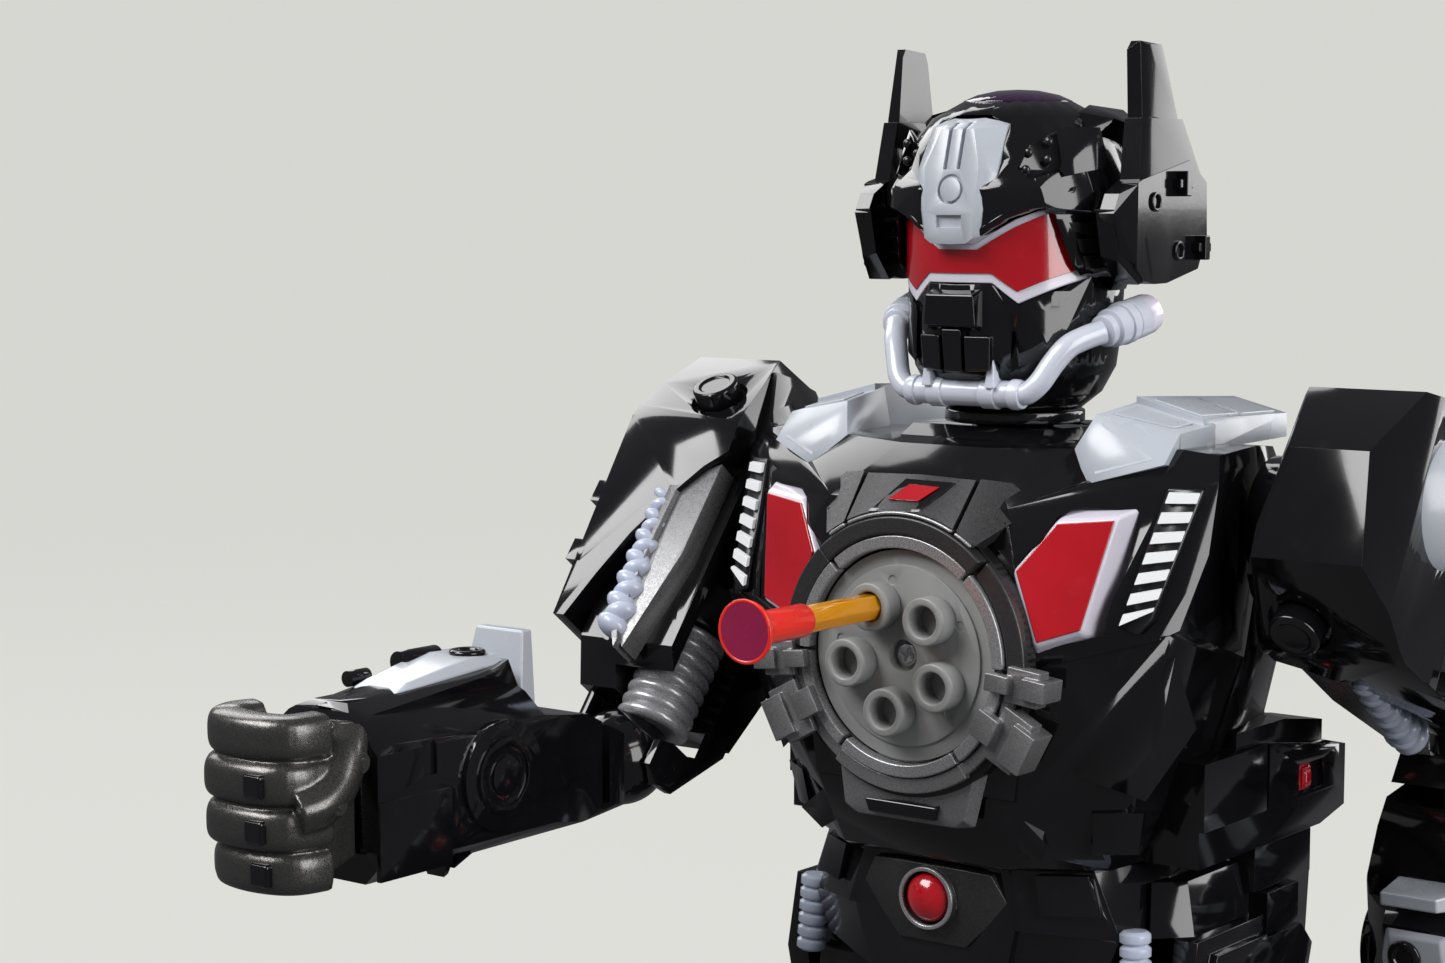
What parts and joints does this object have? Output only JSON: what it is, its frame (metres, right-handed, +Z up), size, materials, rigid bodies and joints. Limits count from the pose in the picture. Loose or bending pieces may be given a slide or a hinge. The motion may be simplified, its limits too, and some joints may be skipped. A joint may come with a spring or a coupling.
{
  "type": "walking toy robot with chest dart launcher",
  "caption": "Armoured humanoid toy robot with horned helmet, red visor, turning chest dart launcher, posable arms and gliding walking feet.",
  "frame": {"origin": "on the floor at the middle of the footprint of the whole toy in its stored pose; the robot's own mirror plane is X = 0 and its turning axes stand about 37 to 45 mm behind the origin, because one arm reaches forward", "axes": "+X to the robot's left, +Y to its back, +Z up; the chest and the barrels face -Y"},
  "size_m": [0.22, 0.2799, 0.3745],
  "materials": {
    "gloss_black": "high gloss moulded",
    "charcoal_metallic": "fine metallic fleck, satin",
    "light_grey": "satin",
    "pale_grey": "semi gloss",
    "red_gloss": "gloss, painted on translucent white",
    "white_print": "printed white bars on black",
    "gunmetal": "warm metallic, semi gloss",
    "dart_amber": "translucent",
    "dart_red": "soft translucent",
    "purple_lens": "smoked translucent",
    "sole_rubber": "matte",
    "motor_metal": "satin",
    "cell_metal": "printed sleeve",
    "steel": "bright",
    "nylon": "natural",
    "board": "resist",
    "speaker_black": "satin"
  },
  "bodies": {
    "pelvis": {"waist_front_shell": "gloss_black", "waist_rear_shell": "gloss_black", "belly_plate": "charcoal_metallic", "waist_hoses": "pale_grey", "hip_side_covers": "gloss_black", "walk_gearbox": "motor_metal", "hip_axle": "steel"},
    "belly_button": {"belly_button": "red_gloss"},
    "torso": {"torso_front_shell": "gloss_black", "torso_back_shell": "gloss_black", "chest_frame": "charcoal_metallic", "chest_clamps": "charcoal_metallic", "chest_lights": "red_gloss", "stripe_panels": "white_print", "shoulder_pads": "pale_grey", "chest_badge": "red_gloss", "backpack_cover": "gloss_black", "batteries": "cell_metal", "circuit_board": "board", "speaker": "speaker_black", "spin_motor": "motor_metal"},
    "battery_door": {"battery_door": "gloss_black"},
    "power_switch": {"power_switch": "red_gloss"},
    "barrels": {"barrel_plate": "light_grey", "barrel_tubes": "light_grey", "barrel_screw": "steel", "barrel_gear": "nylon"},
    "pinion": {"spin_pinion": "nylon"},
    "dart": {"dart_shaft": "dart_amber", "dart_cup": "dart_red"},
    "head": {"neck_post": "gloss_black", "helmet_shell": "gloss_black", "face_mask": "gloss_black", "visor": "red_gloss", "forehead_crest": "pale_grey", "ear_fins": "gloss_black", "cheek_hoses": "pale_grey", "dome_lens": "purple_lens"},
    "upper_arm_right": {"shoulder_shell_right": "gloss_black", "shoulder_lens_right": "pale_grey", "arm_plate_right": "charcoal_metallic", "arm_hoses_right": "pale_grey"},
    "forearm_right": {"forearm_shell_right": "gloss_black"},
    "fist_right": {"fist_right": "gunmetal"},
    "leg_right": {"thigh_shell_right": "gloss_black", "shin_shell_right": "gloss_black"},
    "foot_right": {"foot_shell_right": "gloss_black", "sole_pad_right": "sole_rubber"},
    "roller_right": {"foot_roller_right": "sole_rubber"},
    "upper_arm_left": {"shoulder_shell_left": "gloss_black", "shoulder_lens_left": "pale_grey", "arm_plate_left": "charcoal_metallic", "arm_hoses_left": "pale_grey"},
    "forearm_left": {"forearm_shell_left": "gloss_black"},
    "fist_left": {"fist_left": "gunmetal"},
    "leg_left": {"thigh_shell_left": "gloss_black", "shin_shell_left": "gloss_black"},
    "foot_left": {"foot_shell_left": "gloss_black", "sole_pad_left": "sole_rubber"},
    "roller_left": {"foot_roller_left": "sole_rubber"}
  },
  "joints": [
    {"name": "waist_swivel", "type": "hinge", "parent": "pelvis", "child": "torso", "pos_m": [0, 0.0395, 0.188], "axis": [0, 0, 1], "range_deg": [-20, 20]},
    {"name": "button_press", "type": "slide", "parent": "pelvis", "child": "belly_button", "axis": [0, 1, 0], "range_m": [0, 0.0025], "stiffness_N_per_m": 300, "springref_m": -0.001},
    {"name": "head_turn", "type": "hinge", "parent": "torso", "child": "head", "pos_m": [0, 0.0375, 0.2865], "axis": [0, 0, 1], "range_deg": [-60, 60]},
    {"name": "barrel_spin", "type": "hinge", "parent": "torso", "child": "barrels", "pos_m": [0, -0.0083, 0.2365], "axis": [0, -1, 0], "continuous": true},
    {"name": "pinion_spin", "type": "hinge", "parent": "torso", "child": "pinion", "pos_m": [0, 0.0085, 0.2184], "axis": [0, -1, 0], "continuous": true},
    {"name": "dart_pull", "type": "slide", "parent": "barrels", "child": "dart", "axis": [0, -1, 0], "range_m": [0, 0.045]},
    {"name": "door_slide", "type": "slide", "parent": "torso", "child": "battery_door", "axis": [0, 1, 0], "range_m": [0, 0.025]},
    {"name": "switch_slide", "type": "slide", "parent": "torso", "child": "power_switch", "axis": [0, 1, 0], "range_m": [0, 0.006]},
    {"name": "shoulder_right", "type": "hinge", "parent": "torso", "child": "upper_arm_right", "pos_m": [-0.064, 0.0445, 0.2665], "axis": [-1, 0, 0], "range_deg": [-108, 82]},
    {"name": "elbow_right", "type": "hinge", "parent": "upper_arm_right", "child": "forearm_right", "pos_m": [-0.08, -0.01234, 0.20431], "axis": [-1, 0, 0], "range_deg": [-52, 20]},
    {"name": "wrist_right", "type": "hinge", "parent": "forearm_right", "child": "fist_right", "pos_m": [-0.079, -0.11334, 0.21531], "axis": [0, -1, 0], "range_deg": [-90, 90]},
    {"name": "shoulder_left", "type": "hinge", "parent": "torso", "child": "upper_arm_left", "pos_m": [0.064, 0.0445, 0.2665], "axis": [-1, 0, 0], "range_deg": [-10, 180]},
    {"name": "elbow_left", "type": "hinge", "parent": "upper_arm_left", "child": "forearm_left", "pos_m": [0.08, 0.114, 0.21887], "axis": [-1, 0, 0], "range_deg": [-52, 20]},
    {"name": "wrist_left", "type": "hinge", "parent": "forearm_left", "child": "fist_left", "pos_m": [0.079, 0.11716, 0.11732], "axis": [0, 0.1392, -0.9903], "range_deg": [-90, 90]},
    {"name": "hip_left", "type": "hinge", "parent": "pelvis", "child": "leg_left", "pos_m": [0.026, 0.0415, 0.15], "axis": [-1, 0, 0], "range_deg": [-12, 12]},
    {"name": "hip_right", "type": "hinge", "parent": "pelvis", "child": "leg_right", "pos_m": [-0.026, 0.0415, 0.15], "axis": [-1, 0, 0], "range_deg": [-12.5, 12.5]},
    {"name": "ankle_left", "type": "hinge", "parent": "leg_left", "child": "foot_left", "pos_m": [0.0275, 0.0415, 0.024], "axis": [-1, 0, 0], "range_deg": [-12.5, 12.5]},
    {"name": "ankle_right", "type": "hinge", "parent": "leg_right", "child": "foot_right", "pos_m": [-0.0275, 0.0415, 0.024], "axis": [-1, 0, 0], "range_deg": [-12.5, 12.5]},
    {"name": "roller_spin_right", "type": "hinge", "parent": "foot_right", "child": "roller_right", "pos_m": [-0.029, 0.00742, 0.0043], "axis": [1, 0, 0], "continuous": true},
    {"name": "roller_spin_left", "type": "hinge", "parent": "foot_left", "child": "roller_left", "pos_m": [0.029, 0.00742, 0.0043], "axis": [1, 0, 0], "continuous": true}
  ],
  "couplings": [
    {"joint": "pinion_spin", "follows": "barrel_spin", "ratio": -2},
    {"joint": "hip_right", "follows": "hip_left", "ratio": -1},
    {"joint": "ankle_left", "follows": "hip_left", "ratio": -1},
    {"joint": "ankle_right", "follows": "hip_left", "ratio": 1}
  ]
}
